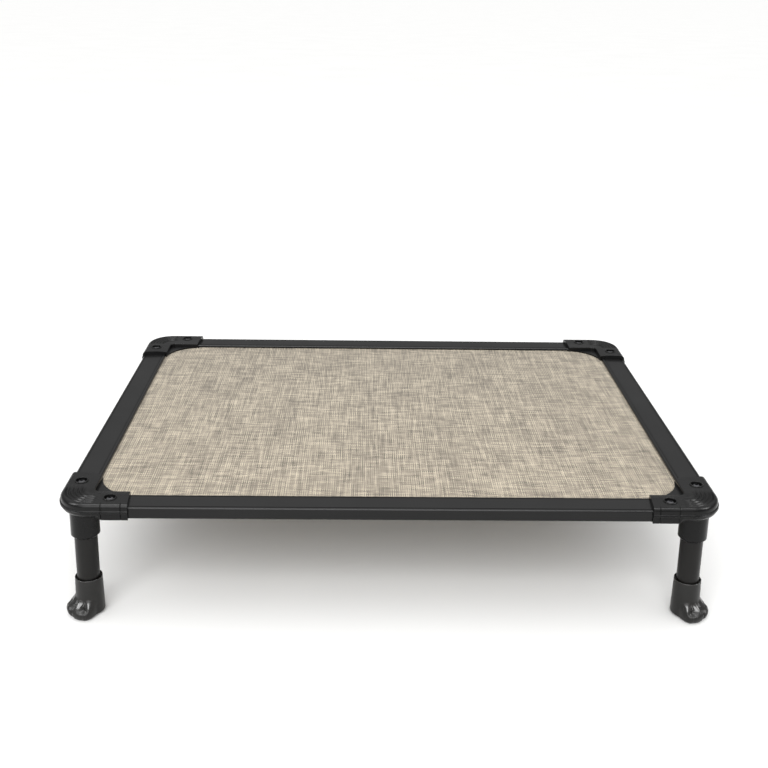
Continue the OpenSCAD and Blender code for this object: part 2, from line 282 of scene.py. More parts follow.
# %% Blacked steel
BOLT_STEEL, tree, shader = material("blacked_steel", Metallic=1.0, Roughness=0.3)
where = add(tree, "ShaderNodeTexCoord").outputs["Object"]
stain = add(tree, "ShaderNodeTexNoise", Vector=where, Scale=per_mm(3), Detail=4.0)
tones = add(tree, "ShaderNodeValToRGB", Fac=stain.outputs["Fac"])
tones.color_ramp.elements[0].color = linear("#252526")
tones.color_ramp.elements[1].color = linear("#6e6e71")
tree.links.new(tones.outputs["Color"], shader.inputs["Base Color"])
rough = add(tree, "ShaderNodeMapRange", Value=stain.outputs["Fac"], To_Min=0.16, To_Max=0.32)
tree.links.new(rough.outputs["Result"], shader.inputs["Roughness"])

# %% Extruded polyethylene
ROD_PLASTIC, tree, shader = material("extruded_polyethylene", Roughness=0.5, IOR=1.51, Subsurface_Weight=0.2)
shader.inputs["Subsurface Scale"].default_value = 0.002
where = add(tree, "ShaderNodeTexCoord").outputs["Object"]
lines = add(tree, "ShaderNodeTexNoise", Vector=where, Scale=per_mm(1.5), Detail=2.0)
tones = add(tree, "ShaderNodeValToRGB", Fac=lines.outputs["Fac"])
tones.color_ramp.elements[0].color = linear("#dcdcd6")
tones.color_ramp.elements[1].color = linear("#eeeeea")
tree.links.new(tones.outputs["Color"], shader.inputs["Base Color"])

# %% [markdown]
# ## The woven mat's cloth
# The mat is vinyl-coated polyester yarn in a plain weave, printed like linen: slubs of cream and brown
# run both ways. Each yarn gets one number from its place across the weave, and a tone that drifts slowly
# along its length. A sine across the yarns says which of the two lies on top at each crossing.

# %% Woven vinyl yarn
WARP_MM = 1.35  # pitch of the yarns that run from front to back
WEFT_MM = 2.6  # pitch of the thicker ones from side to side
DARKER = 0.13  # how much darker every other yarn is
PATCHY = 0.12  # how far the tone drifts between patches of cloth

CLOTH, tree, shader = material("woven_vinyl_yarn", Roughness=0.62, IOR=1.48)
shader.inputs["Sheen Weight"].default_value = 0.12
where = add(tree, "ShaderNodeTexCoord").outputs["Object"]
axes = add(tree, "ShaderNodeSeparateXYZ", Vector=where)


def yarn_tone(across, along, pitch, slub, seed):
    """Tone from 0 to 1 of the yarn here: random between yarns, drifting along each, darker on odd ones."""
    counted = add(tree, "ShaderNodeMath", {"operation": "MULTIPLY"}, _0=across, _1=per_mm(pitch))
    number = add(tree, "ShaderNodeMath", {"operation": "FLOOR"}, _0=counted.outputs[0])
    drift = add(tree, "ShaderNodeMath", {"operation": "MULTIPLY"}, _0=along, _1=per_mm(slub))
    place = add(tree, "ShaderNodeCombineXYZ", X=number.outputs[0], Y=drift.outputs[0], Z=seed)
    thick = add(tree, "ShaderNodeTexNoise", Vector=place.outputs[0], Scale=0.93, Detail=1.0, Roughness=0.6)
    odd = add(tree, "ShaderNodeMath", {"operation": "FLOORED_MODULO"}, _0=number.outputs[0], _1=2.0)
    return add(tree, "ShaderNodeMath", {"operation": "MULTIPLY_ADD"}, _0=odd.outputs[0], _1=-DARKER,
               _2=thick.outputs["Fac"])


def yarn_wave(across, pitch):
    """Rise and fall of a yarn over and under the ones it crosses."""
    turns = add(tree, "ShaderNodeMath", {"operation": "MULTIPLY"}, _0=across, _1=per_mm(pitch) * math.pi)
    return add(tree, "ShaderNodeMath", {"operation": "SINE"}, _0=turns.outputs[0])


warp = yarn_tone(axes.outputs["X"], axes.outputs["Y"], WARP_MM, 45.0, 3.7)
weft = yarn_tone(axes.outputs["Y"], axes.outputs["X"], WEFT_MM, 22.0, 9.1)
warp_wave = yarn_wave(axes.outputs["X"], WARP_MM)
weft_wave = yarn_wave(axes.outputs["Y"], WEFT_MM)
crossing = add(tree, "ShaderNodeMath", {"operation": "MULTIPLY"}, _0=warp_wave.outputs[0],
               _1=weft_wave.outputs[0])
on_top = add(tree, "ShaderNodeMapRange", Value=crossing.outputs[0], From_Min=-0.35, From_Max=0.35)
blend = add(tree, "ShaderNodeMix", Factor=on_top.outputs["Result"], _2=warp.outputs[0], _3=weft.outputs[0])
cloudy = add(tree, "ShaderNodeTexNoise", Vector=where, Scale=per_mm(55), Detail=2.0)
patched = add(tree, "ShaderNodeMath", {"operation": "MULTIPLY_ADD"}, _0=cloudy.outputs["Fac"], _1=PATCHY,
              _2=-PATCHY / 2)
tones = add(tree, "ShaderNodeMath", _0=blend.outputs[0], _1=patched.outputs[0])
colours = add(tree, "ShaderNodeValToRGB", Fac=tones.outputs[0])
ramp = colours.color_ramp
ramp.elements[0].position, ramp.elements[0].color = 0.2, linear("#383228")
ramp.elements[1].position, ramp.elements[1].color = 0.66, linear("#9a917f")
middle = ramp.elements.new(0.42)
middle.color = linear("#6a6255")
tree.links.new(colours.outputs["Color"], shader.inputs["Base Color"])
height = add(tree, "ShaderNodeMath", {"operation": "ABSOLUTE"}, _0=crossing.outputs[0])
relief = add(tree, "ShaderNodeBump", Height=height.outputs[0], Strength=0.7, Distance=0.25 * MM)
tree.links.new(relief.outputs["Normal"], shader.inputs["Normal"])

# %% [markdown]
# ## Tools for meshes
# New pieces are made as points and faces in millimetres, then placed in metres. Faces are turned outwards
# once, and only edges sharper than the given angle stay crisp.


# %% Mesh helpers
def solid(name, made):
    """A mesh object from points in millimetres and faces, with its faces outwards."""
    points, faces = made
    mesh = bpy.data.meshes.new(name)
    mesh.from_pydata([tuple(p) for p in np.asarray(points, float) * MM], [], faces)
    turn_outwards(mesh)
    piece = bpy.data.objects.new(name, mesh)
    bpy.context.collection.objects.link(piece)
    return piece


def turn_outwards(mesh):
    """Joins points that coincide and turns every face outwards."""
    shell = bmesh.new()
    shell.from_mesh(mesh)
    bmesh.ops.remove_doubles(shell, verts=shell.verts, dist=1e-6)
    bmesh.ops.recalc_face_normals(shell, faces=shell.faces)
    shell.to_mesh(mesh)
    shell.free()


def finished(piece, finish, sharp):
    """The piece with its material, and edges sharper than this angle kept crisp."""
    piece.data.materials.clear()
    piece.data.materials.append(finish)
    piece.data.shade_smooth()
    piece.data.set_sharp_from_angle(angle=math.radians(sharp))
    return piece


def baked(piece):
    """The piece as a plain mesh, with its modifiers worked in."""
    graph = bpy.context.evaluated_depsgraph_get()
    mesh = bpy.data.meshes.new_from_object(piece.evaluated_get(graph))
    piece.modifiers.clear()
    piece.data = mesh
    return piece


def cut_or_join(piece, other, operation):
    """Cuts another solid out of a piece or joins it on, and removes the other."""
    change = piece.modifiers.new(operation.lower(), "BOOLEAN")
    change.operation = operation
    change.solver = "EXACT"
    change.object = other
    baked(piece)
    bpy.data.objects.remove(other)
    return piece


AXIS = 0.01  # radius at which a turned profile stops, just short of its axis


def lathe(points, centre, steps=64):
    """Points and faces of a profile of (radius, height) turned about an upright axis, closed at both ends."""
    ring = [(math.cos(a), math.sin(a)) for a in np.linspace(0, 2 * math.pi, steps, endpoint=False)]
    made = [(centre[0] + r * c, centre[1] + r * s, z) for r, z in points for c, s in ring]
    rows = len(points)
    faces = [
        (k * steps + i, k * steps + (i + 1) % steps, (k + 1) * steps + (i + 1) % steps, (k + 1) * steps + i)
        for k in range(rows - 1)
        for i in range(steps)
    ]
    faces += [tuple(range(steps)), tuple(range((rows - 1) * steps, rows * steps))]
    return made, faces


def rounded(centre, radius, start, end, steps=6):
    """Points of an arc in a profile, angles in degrees."""
    return [
        (centre[0] + radius * math.cos(math.radians(a)), centre[1] + radius * math.sin(math.radians(a)))
        for a in np.linspace(start, end, steps + 1)
    ]


# %% [markdown]
# ## Corner connector: its path
# Seen from above, a connector is two straight arms and a quarter-round bend. Its skin is a section that
# travels along that path. A station is one stop on the way. At each one, a point in the section is given
# by its distance from the inner face, and near that face the path rounds a small fillet of its own.

# %% Stations from the end of one arm, round the bend, to the end of the other
WALL_IN, FIT_GAP = 2.0, 0.2
INNER = RAIL_W + FIT_GAP + WALL_IN  # the arms' inner face, from the rails' outer face
WIDTH = INNER + PROUD  # width of an arm
FILLET = 8.0
CORE = 12.0  # nearer the inner face than this, stations lean towards the fillet
SEAM = 53.5  # mould seam where the bend's part of the tool ends
END_BAND = 77.5  # plain band at the end of each arm
SEAM_W = 0.7
SKEW = 4.0  # the end of an arm leans back towards the inside

arm_stops = [ARM, ARM - 0.5, ARM - 1.2, 82.0, END_BAND + 2]
for seam in (END_BAND, SEAM):
    arm_stops += [seam + SEAM_W, seam + SEAM_W / 2, seam, seam - SEAM_W / 2, seam - SEAM_W]
    if seam == END_BAND:
        arm_stops += list(np.linspace(seam - 3, SEAM + 3, 8))
arm_stops += list(np.linspace(SEAM - 2, INNER + FILLET, 7))
arm_stops += list(np.linspace(INNER + FILLET, INNER, 6))[1:-1]
BEND_STEPS = 28
stations = [("along", x) for x in arm_stops]
stations += [("bend", a) for a in np.linspace(0, 90, BEND_STEPS + 1)]
stations += [("across", x) for x in reversed(arm_stops)]
print(len(stations), "stations")

lean_from = INNER + FILLET
first_lean = next(i for i, s in enumerate(stations) if s[1] <= lean_from + 1e-6)
last_lean = len(stations) - 1 - first_lean


def smooth(low, high, value):
    """0 below low, 1 above high, and an even rise between them."""
    t = min(max((value - low) / (high - low), 0), 1)
    return t * t * (3 - 2 * t)


def on_path(index, from_inner):
    """Place in plan of a point in station index, at this distance from the inner face."""
    kind, stop = stations[index]
    if kind != "bend":
        stop -= SKEW * max(0, 1 - from_inner / WIDTH) * smooth(SEAM + 1, ARM, stop)
    if kind == "along":
        return np.array([stop, INNER - from_inner])
    if kind == "across":
        return np.array([INNER - from_inner, stop])
    a = math.radians(270 - stop)
    return np.array([INNER + from_inner * math.cos(a), INNER + from_inner * math.sin(a)])


def by_fillet(index, depth):
    """Place in plan of a point this deep behind the inner face, which follows the fillet."""
    if index <= first_lean or index >= last_lean:
        return on_path(index, depth)
    share = (index - first_lean) / (last_lean - first_lean)
    a = math.radians(270 - 90 * share)
    centre = INNER + FILLET
    return np.array([centre + (FILLET + depth) * math.cos(a), centre + (FILLET + depth) * math.sin(a)])


def plan(index, place):
    """Place in plan: a number is measured from the inner face, a pair (depth, share) blends towards CORE."""
    if isinstance(place, tuple):
        depth, share = place
        return by_fillet(index, depth) * (1 - share) + on_path(index, CORE) * share
    return on_path(index, place)


def swept(section):
    """Points and faces of a closed section (a function of the station) along all stations, with flat ends."""
    rows = [[(*plan(i, place), z) for place, z in section(i)] for i in range(len(stations))]
    count = len(rows[0])
    points = [p for row in rows for p in row]
    faces = [
        (i * count + k, i * count + (k + 1) % count, (i + 1) * count + (k + 1) % count, (i + 1) * count + k)
        for i in range(len(rows) - 1)
        for k in range(count)
    ]
    faces += [tuple(range(count)), tuple(range(len(points) - count, len(points)))]
    return points, faces


# %% [markdown]
# ## Corner connector: cap
# The cap's top edge is a broad soft round that catches the light. Low ridges follow the bend and fade out
# before the bolts. Below, the side steps in and ends in a lip at the parting line.

# %% The cap's section
EDGE_R = 6.0
INNER_R = 1.6
RIDGE_FROM, RIDGE_PITCH, RIDGE_COUNT, RIDGE_H = 8.0, 5.2, 5, 1.9
CROWN = 1.8
BOSS_RISE = 1.2
CAP_TOP = BOSS_TOP - BOSS_RISE
CAP_UNDER = CAP_SKIRT + 1.3
LIP, STEP_IN = 1.5, 1.2
OUTER_WALL = 3.0


def in_bend(index):
    """1 round the bend, fading to 0 at the seam on each arm."""
    kind, stop = stations[index]
    return 1.0 if kind == "bend" else 1 - smooth(SEAM - 5, SEAM, stop)


def ridged(index):
    """1 round the bend, fading to 0 before the bolt's boss on each arm."""
    kind, stop = stations[index]
    return 1.0 if kind == "bend" else 1 - smooth(INNER, INNER + 14, stop)


def seam_depth(index):
    """Depth of the mould seams at this station."""
    kind, stop = stations[index]
    if kind == "bend":
        return 0.0
    return 0.6 * sum(max(0, 1 - abs(stop - seam) / SEAM_W) for seam in (SEAM, END_BAND))


def crown(from_inner):
    """Height of the top: it falls gently towards the inner face."""
    return CAP_TOP - CROWN * (1 - smooth(-4, 17, from_inner)) / (1 - smooth(-4, 17, 0))


def ridge(from_inner, index):
    """Height of the ridged top against a plain one, never above it."""
    span = RIDGE_COUNT * RIDGE_PITCH
    inside = smooth(RIDGE_FROM - 1, RIDGE_FROM + 1, from_inner) * (
        1 - smooth(RIDGE_FROM + span - 1, RIDGE_FROM + span + 1, from_inner))
    wave = 0.5 - 0.5 * math.cos(2 * math.pi * (from_inner - RIDGE_FROM) / RIDGE_PITCH)
    return -RIDGE_H * (1 - wave) * inside * ridged(index)


def cap_section(index):
    """Outline of the cap at this station, from the inner face over the top and down to the lip."""
    seam = seam_depth(index)
    side = WIDTH - STEP_IN - seam
    rows = [((0.0, 0.0), CAP_UNDER)]
    inner_top = CAP_TOP - CROWN
    rows += [((INNER_R - INNER_R * math.cos(a), 0.0), inner_top - INNER_R + INNER_R * math.sin(a))
             for a in np.linspace(0, math.pi / 2, 5)]
    rows += [((INNER_R, share), crown(INNER_R + (CORE - INNER_R) * share)) for share in (0.25, 0.5, 0.75)]
    flat_end = WIDTH - STEP_IN - EDGE_R
    rows += [(r, crown(r) + ridge(r, index)) for r in np.linspace(CORE, flat_end, 48)]
    rows += [(side - EDGE_R + EDGE_R * math.sin(a), CAP_TOP - EDGE_R + EDGE_R * math.cos(a) - seam * 0.5)
             for a in np.linspace(0.12, math.pi / 2, 10)]
    lip_top = CAP_SKIRT + LIP
    lip = WIDTH - seam
    rows += [(side, lip_top + 0.5), (WIDTH - STEP_IN / 2 - seam, lip_top + 0.15)]
    rows += [(WIDTH - 0.15 - seam, lip_top)]
    rows += [(lip, lip_top - 0.2), (lip, CAP_SKIRT + 0.25), (WIDTH - 0.25 - seam, CAP_SKIRT)]
    inside_wall = WIDTH - STEP_IN - OUTER_WALL
    rows += [(inside_wall, CAP_SKIRT), (inside_wall, FIT_GAP), (CORE, FIT_GAP)]
    rows += [((WALL_IN, 0.0), FIT_GAP), ((WALL_IN, 0.0), CAP_UNDER)]
    return rows


# %% [markdown]
# ## Corner connector: bosses, web and bolt recesses
# A ring stands up round each bolt, and the bolt head sits in a recess inside it. Between the arms a thin
# web with a curved edge covers the corner of the mat. They are solids of their own, joined to the skin or
# cut from it.

# %% The cap in one corner, with the rails' outer corner as its origin
BOLTS = [(61.5, 16.2), (16.2, 61.5)]
BOSS_R, RECESS_R, BOLT_HOLE_R = 8.7, 6.8, 3.2
SEAT = BOSS_TOP - 3.7  # the recess's floor, on which the bolt head sits
THROUGH = 6.0  # a bolt's hole runs this far below its seat
WEB_R, WEB_T = 52.0, 1.8
WEB_CENTRE = INNER + WEB_R


def prism(outline, low, high):
    """Points and faces of an outline in plan, drawn up from one height to another."""
    count = len(outline)
    points = [(x, y, low) for x, y in outline] + [(x, y, high) for x, y in outline]
    faces = [(k, (k + 1) % count, count + (k + 1) % count, count + k) for k in range(count)]
    return points, faces + [tuple(range(count)), tuple(range(count, 2 * count))]


def hexagon(radius, centre):
    """Corners of a six-sided outline in plan."""
    turns = [math.radians(60 * k) for k in range(6)]
    return [(centre[0] + radius * math.cos(a), centre[1] + radius * math.sin(a)) for a in turns]


def web(low):
    """Thin plate between the two arms, with its free edge cut to a curve."""
    arc = [(WEB_CENTRE + WEB_R * math.cos(a), WEB_CENTRE + WEB_R * math.sin(a))
           for a in np.linspace(math.radians(265), math.radians(185), 33)]
    back = INNER - 1
    return prism([(back, back), (arc[0][0], back)] + arc + [(back, arc[-1][1])], low, low + WEB_T)


corner_cap = solid("corner_cap", swept(cap_section))
cut_or_join(corner_cap, solid("web", web(CAP_UNDER)), "UNION")
ring = [(BOSS_R + 0.5, CAP_TOP - 2.4), (BOSS_R + 0.1, CAP_TOP - 0.4)]
ring += rounded((BOSS_R - 1.1, BOSS_TOP - 1.1), 1.1, 0, 90)
ring += rounded((RECESS_R + 0.6, BOSS_TOP - 0.6), 0.6, 90, 180)
ring += [(RECESS_R, SEAT - 0.6), (AXIS, SEAT - 0.6)]
hole = [(AXIS, BOSS_TOP + 1), (RECESS_R, BOSS_TOP + 1), (RECESS_R, SEAT), (BOLT_HOLE_R, SEAT)]
hole += [(BOLT_HOLE_R, SEAT - THROUGH), (AXIS, SEAT - THROUGH)]
for place in BOLTS:
    cut_or_join(corner_cap, solid("boss", lathe(ring, place)), "UNION")
    cut_or_join(corner_cap, solid("recess", lathe(hole, place)), "DIFFERENCE")
print("cap", len(corner_cap.data.polygons), "faces")

# %% [markdown]
# ## Corner connector: base
# The base meets the cap at the parting line with a lip like the cap's, tucks in below it, and carries the
# socket for the leg and a boss with a six-sided pocket for each nut.

# %% The base's section, socket and nut bosses
RAIL_H = (front_high.z - front_low.z) / MM
FLOOR_TOP = -RAIL_H - FIT_GAP
BASE_UNDER = FLOOR_TOP - 2.0
TUCK_IN, TUCK_UP = 15.0, 8.5
SOCKET_R = TUBE_R + 3.65
NUT_R = 10.3 / math.sqrt(3)
nut_low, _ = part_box("corner_nuts")
NUT_BOSS_END = nut_low.z / MM - RAIL_TOP - 0.5


def base_section(index):
    """Outline of the base at this station, from the inner face along the underside and up to the lip."""
    seam = seam_depth(index)
    side = WIDTH - STEP_IN - seam
    lip_low = BASE_TOP - LIP
    rows = [((0.0, 0.0), BASE_TOP)]
    rows += [((1.2 - 1.2 * math.cos(a), 0.0), BASE_UNDER + 1.2 - 1.2 * math.sin(a))
             for a in np.linspace(0, math.pi / 2, 5)]
    round_in = 2.2 + (TUCK_IN - 2.2) * in_bend(index)
    round_up = 2.2 + (TUCK_UP - 2.2) * in_bend(index)
    rows += [(CORE, BASE_UNDER), (side - TUCK_IN - 1, BASE_UNDER)]
    rows += [(side - round_in + round_in * math.sin(a), BASE_UNDER + round_up - round_up * math.cos(a))
             for a in np.linspace(0.05, math.pi / 2, 10)]
    lip = WIDTH - seam
    rows += [(side, lip_low - 0.5), (WIDTH - STEP_IN / 2 - seam, lip_low - 0.15)]
    rows += [(WIDTH - 0.15 - seam, lip_low)]
    rows += [(lip, lip_low + 0.2), (lip, BASE_TOP - 0.25), (WIDTH - 0.25 - seam, BASE_TOP)]
    channel = INNER + FIT_GAP
    rows += [(channel, BASE_TOP), (channel, FLOOR_TOP + 1.6), (channel - 1.6, FLOOR_TOP), (CORE, FLOOR_TOP)]
    rows += [((WALL_IN, 0.0), FLOOR_TOP), ((WALL_IN, 0.0), BASE_TOP)]
    return rows


corner_base = solid("corner_base", swept(base_section))
cut_or_join(corner_base, solid("web", web(BASE_TOP - WEB_T)), "UNION")
socket = [(AXIS, FLOOR_TOP - 0.7), (SOCKET_R, FLOOR_TOP - 0.7), (SOCKET_R, SOCKET_END + 3)]
socket += [(SOCKET_R - 2.7, SOCKET_END + 0.3), (SOCKET_R - 3.1, SOCKET_END), (AXIS, SOCKET_END)]
cut_or_join(corner_base, solid("socket", lathe(socket, (LEG_IN, LEG_IN), 96)), "UNION")
bore = [(AXIS, SOCKET_END - 1), (TUBE_R + 0.2, SOCKET_END - 1), (TUBE_R + 0.2, -11.4), (AXIS, -11.4)]
for place in BOLTS:
    boss = [(AXIS, FLOOR_TOP - 0.7), (NUT_R + 2, FLOOR_TOP - 0.7), (NUT_R + 2, NUT_BOSS_END + 0.6)]
    boss += [(NUT_R + 1.4, NUT_BOSS_END), (AXIS, NUT_BOSS_END)]
    cut_or_join(corner_base, solid("boss", lathe(boss, place)), "UNION")
    six = hexagon(NUT_R, place)
    cut_or_join(corner_base, solid("pocket", prism(six, NUT_BOSS_END - 1, BASE_UNDER)), "DIFFERENCE")
    hole = [(AXIS, NUT_BOSS_END - 1), (BOLT_HOLE_R, NUT_BOSS_END - 1), (BOLT_HOLE_R, -5), (AXIS, -5)]
    cut_or_join(corner_base, solid("hole", lathe(hole, place, 32)), "DIFFERENCE")
cut_or_join(corner_base, solid("bore", lathe(bore, (LEG_IN, LEG_IN), 96)), "DIFFERENCE")
print("base", len(corner_base.data.polygons), "faces")

# %% [markdown]
# ## Four corners from one
# Left and right connectors mirror each other, as do front and back. A mirrored mesh turns its faces
# inside out, so its normals are worked out again.

# %% Place the connectors
CORNERS = {
    "front_left": (-1, -1),
    "front_right": (1, -1),
    "back_left": (-1, 1),
    "back_right": (1, 1),
}


def in_corner(name, source, sx, sy, finish, sharp):
    """A copy of a piece made in the corner's own frame, mirrored and set into one corner."""
    mesh = source.data.copy()
    points = np.empty(len(mesh.vertices) * 3)
    mesh.vertices.foreach_get("co", points)
    points = points.reshape(-1, 3)
    points[:, 0] = sx * (OUTER_X * MM - points[:, 0])
    points[:, 1] = sy * (OUTER_Y * MM - points[:, 1])
    points[:, 2] += RAIL_TOP * MM
    mesh.vertices.foreach_set("co", points.ravel())
    turn_outwards(mesh)
    piece = bpy.data.objects.new(name, mesh)
    bpy.context.collection.objects.link(piece)
    return finished(piece, finish, sharp)


for corner, (sx, sy) in CORNERS.items():
    for half, source in (("cap", corner_cap), ("base", corner_base)):
        piece = in_corner(f"{half}_{corner}_moulding", source, sx, sy, NYLON, 38)
        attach(piece, BODY)
        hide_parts(f"corner_{half}_{corner}")
bpy.data.objects.remove(corner_cap)
bpy.data.objects.remove(corner_base)

# %% [markdown]
# ## Rubber paws
# Each foot is one rubber moulding: a sleeve round the tube that slopes out into four toes, like a dog's
# paw. Its skin is given as a radius for each direction and height. Grooves are cut between the toes, wide
# hollows above them and one long groove in the middle below, and they fade out at the heel.

# %% The paw's skin
_, foot_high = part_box("paw_foot_front_left")
FOOT_H = foot_high.z / MM
TUBE_BOTTOM = tube_low.z / MM
RIM_R, FLARE = 16.75, 1.2
INSTEP_Z, TOE_Z = 25.0, 8.5
REACH = 29.3


def sleeve(z):
    """Radius of the plain sleeve at this height."""
    return RIM_R + FLARE * (FOOT_H - z) / FOOT_H


def toe_front(z):
    """How far the toes reach at this height: out from the sleeve, down to the widest, and in at the sole."""
    if z >= INSTEP_Z:
        return sleeve(z)
    if z >= TOE_Z:
        t = (INSTEP_Z - z) / (INSTEP_Z - TOE_Z)
        return sleeve(z) + (REACH - sleeve(z)) * math.sin(t * math.pi / 2) ** 1.25
    t = (TOE_Z - z) / TOE_Z
    return REACH - 6.5 * (1 - math.sqrt(max(0, 1 - 0.95 * t**2)))


GROOVES = (-36, 0, 36)
GROOVE_HALF = 18.0


def groove(angle, z):
    """Depth of the grooves here: wide hollows above the toes, and below them only the middle one runs on."""
    nearest = min(GROOVES, key=lambda g: abs(angle - g))
    closeness = max(0, 1 - abs(angle - nearest) / GROOVE_HALF)
    upper = min(0.8 * (toe_front(z) - sleeve(z)), 6.5) * closeness**1.15
    lower = (4.0 if nearest == 0 else 0.6) * closeness**4
    share = smooth(9.5, 14, z)
    return upper * share + lower * (1 - share)


def paw_radius(angle, z):
    """Skin radius in a direction given in degrees from the middle of the toes."""
    away = (angle + 180) % 360 - 180
    reach = 1 - smooth(38, 88, abs(away))
    front = toe_front(z) - groove(away, z)
    heel = sleeve(z) - 4.5 * max(0, 1 - z / 5) ** 2
    return max(heel + (front - heel) * reach, TUBE_R + 0.5 if z > 5 else 0)


PAW_STEPS = 180
SOLE_R = 1.3  # height of the small round between sole and side
LIP_R, MOUTH_R = 0.45, 15.5
heights = [0.0, 0.25, 0.7, SOLE_R] + list(np.linspace(2, 26, 49)) + list(np.linspace(28, FOOT_H - 1.2, 8))
turns = np.linspace(0, 360, PAW_STEPS, endpoint=False)
rows = []
for z in heights:
    tuck = 1.1 * (1 - math.sqrt(max(0, 1 - (1 - min(z / SOLE_R, 1)) ** 2)))
    rows.append([(paw_radius(a, z) - tuck, z) for a in turns])
mouth = rounded((RIM_R - LIP_R, FOOT_H - LIP_R), LIP_R, 0, 180)
mouth += [(MOUTH_R, FOOT_H - 0.8), (MOUTH_R, FOOT_H - 3)]
mouth += [(TUBE_R + 0.05, FOOT_H - 3), (TUBE_R + 0.05, TUBE_BOTTOM)]
rows += [[(r, z)] * PAW_STEPS for r, z in mouth]
paw_points = [(r * math.cos(math.radians(a)), r * math.sin(math.radians(a)), z)
              for row in rows for a, (r, z) in zip(turns, row)]
paw_faces = [
    (k * PAW_STEPS + i, k * PAW_STEPS + (i + 1) % PAW_STEPS, (k + 1) * PAW_STEPS + (i + 1) % PAW_STEPS,
     (k + 1) * PAW_STEPS + i)
    for k in range(len(rows) - 1)
    for i in range(PAW_STEPS)
]
paw_faces += [tuple(range(PAW_STEPS)), tuple(range((len(rows) - 1) * PAW_STEPS, len(rows) * PAW_STEPS))]



def polished_at(point, centre, towards):
    """How polished the skin is at a point: fully in the hollows between the toes, a little along the rim."""
    away = math.atan2(point.y - centre[1], point.x - centre[0]) - towards
    away = abs(math.degrees((away + math.pi) % (2 * math.pi) - math.pi))
    hollows = smooth(15, 17, point.z) * (1 - smooth(20, 22.5, point.z)) * (1 - smooth(56, 68, away))
    return max(hollows, 0.35 * smooth(FOOT_H - 1, FOOT_H - 0.6, point.z))


for corner, (sx, sy) in CORNERS.items():
    towards = math.atan2(sy, sx)
    centre = np.array([sx * (OUTER_X - LEG_IN), sy * (OUTER_Y - LEG_IN)])
    c, s = math.cos(towards), math.sin(towards)
    placed = [(centre[0] + c * x - s * y, centre[1] + s * x + c * y, z) for x, y, z in paw_points]
    paw = finished(solid(f"paw_{corner}", (placed, paw_faces)), RUBBER, 50)
    polish = paw.data.attributes.new("polish", "FLOAT", "POINT")
    polish.data.foreach_set("value", [polished_at(v.co / MM, centre, towards) for v in paw.data.vertices])
    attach(paw, BODY)
    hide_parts(f"paw_foot_{corner}")
print("paw", len(paw_faces), "faces")

# %% [markdown]
# ## Bolts
# All eight bolts are one pattern: a low domed head with a six-sided key hole, and a plain shank. One bolt
# is turned on the lathe, and a small tree of nodes sets a copy on each of the eight places, turned at
# random as a screwdriver would leave it.

# %% One bolt
bolt_low, bolt_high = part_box("corner_bolts")
HEAD_TOP = bolt_high.z / MM
SEAT_Z = RAIL_TOP + SEAT
SHANK_END = bolt_low.z / MM
HEAD_R, SHANK_R = 5.5, 2.95
DOME_RISE = 2.1
KEY_R, KEY_DEPTH = 2.3, 2.2
profile = [(AXIS, SHANK_END), (2.6, SHANK_END), (SHANK_R, SHANK_END + 0.4), (SHANK_R, SEAT_Z + 0.01)]
profile += [(HEAD_R - 0.3, SEAT_Z + 0.01), (HEAD_R, SEAT_Z + 0.3), (HEAD_R, SEAT_Z + 0.9)]
dome = (HEAD_R**2 + DOME_RISE**2) / (2 * DOME_RISE)  # radius of the sphere that the head is cut from
profile += [(r, HEAD_TOP - dome + math.sqrt(dome**2 - r**2)) for r in np.linspace(HEAD_R - 0.35, 2.4, 9)]
profile += [(AXIS, HEAD_TOP - 0.25)]
bolt = solid("bolt", lathe(profile, (0, 0), 48))
key = hexagon(KEY_R, (0, 0))
cut_or_join(bolt, solid("key", prism(key, HEAD_TOP - KEY_DEPTH, HEAD_TOP + 1)), "DIFFERENCE")

# %% A copy on every place
places = [
    (sx * (OUTER_X - x), sy * (OUTER_Y - y), 0.0)
    for sx, sy in CORNERS.values()
    for x, y in BOLTS
]
bolts_mesh = bpy.data.meshes.new("bolts")
bolts_mesh.from_pydata([tuple(c * MM for c in p) for p in places], [], [])
bolts = bpy.data.objects.new("bolts", bolts_mesh)
bpy.context.collection.objects.link(bolts)

group = bpy.data.node_groups.new("bolts_on_places", "GeometryNodeTree")
group.interface.new_socket("Geometry", in_out="INPUT", socket_type="NodeSocketGeometry")
bolt_input = group.interface.new_socket("Bolt", in_out="INPUT", socket_type="NodeSocketObject")
seed_input = group.interface.new_socket("Seed", in_out="INPUT", socket_type="NodeSocketInt")
group.interface.new_socket("Geometry", in_out="OUTPUT", socket_type="NodeSocketGeometry")
inputs = add(group, "NodeGroupInput")
pattern = add(group, "GeometryNodeObjectInfo", {"transform_space": "ORIGINAL"}, Object=inputs.outputs["Bolt"])
turned = add(group, "FunctionNodeRandomValue", {"data_type": "FLOAT_VECTOR"}, Max=(0, 0, 1.047),
             Seed=inputs.outputs["Seed"])
copies = add(group, "GeometryNodeInstanceOnPoints", Points=inputs.outputs["Geometry"],
             Instance=pattern.outputs["Geometry"], Rotation=turned.outputs["Value"])
joined = add(group, "GeometryNodeRealizeInstances", Geometry=copies.outputs["Instances"])
steel = add(group, "GeometryNodeSetMaterial", Geometry=joined.outputs["Geometry"], Material=BOLT_STEEL)
add(group, "NodeGroupOutput", Geometry=steel.outputs["Geometry"])
change = bolts.modifiers.new("bolts_on_places", "NODES")
change.node_group = group
change[bolt_input.identifier] = bolt
change[seed_input.identifier] = 5
baked(bolts)
bpy.data.objects.remove(bolt)
finished(bolts, BOLT_STEEL, 35)
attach(bolts, BODY)
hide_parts("corner_bolts")
print("bolts", len(bolts.data.polygons), "faces")

# %% [markdown]
# ## Woven mat
# One sheet of cloth, stretched tight between the rails, with a loop welded along each side that holds a
# rod in the rail's channel. It is pulled nearly flat. A very slight dip, deepest in the middle, and a
# hint of tension between the rods keep it from looking like card.

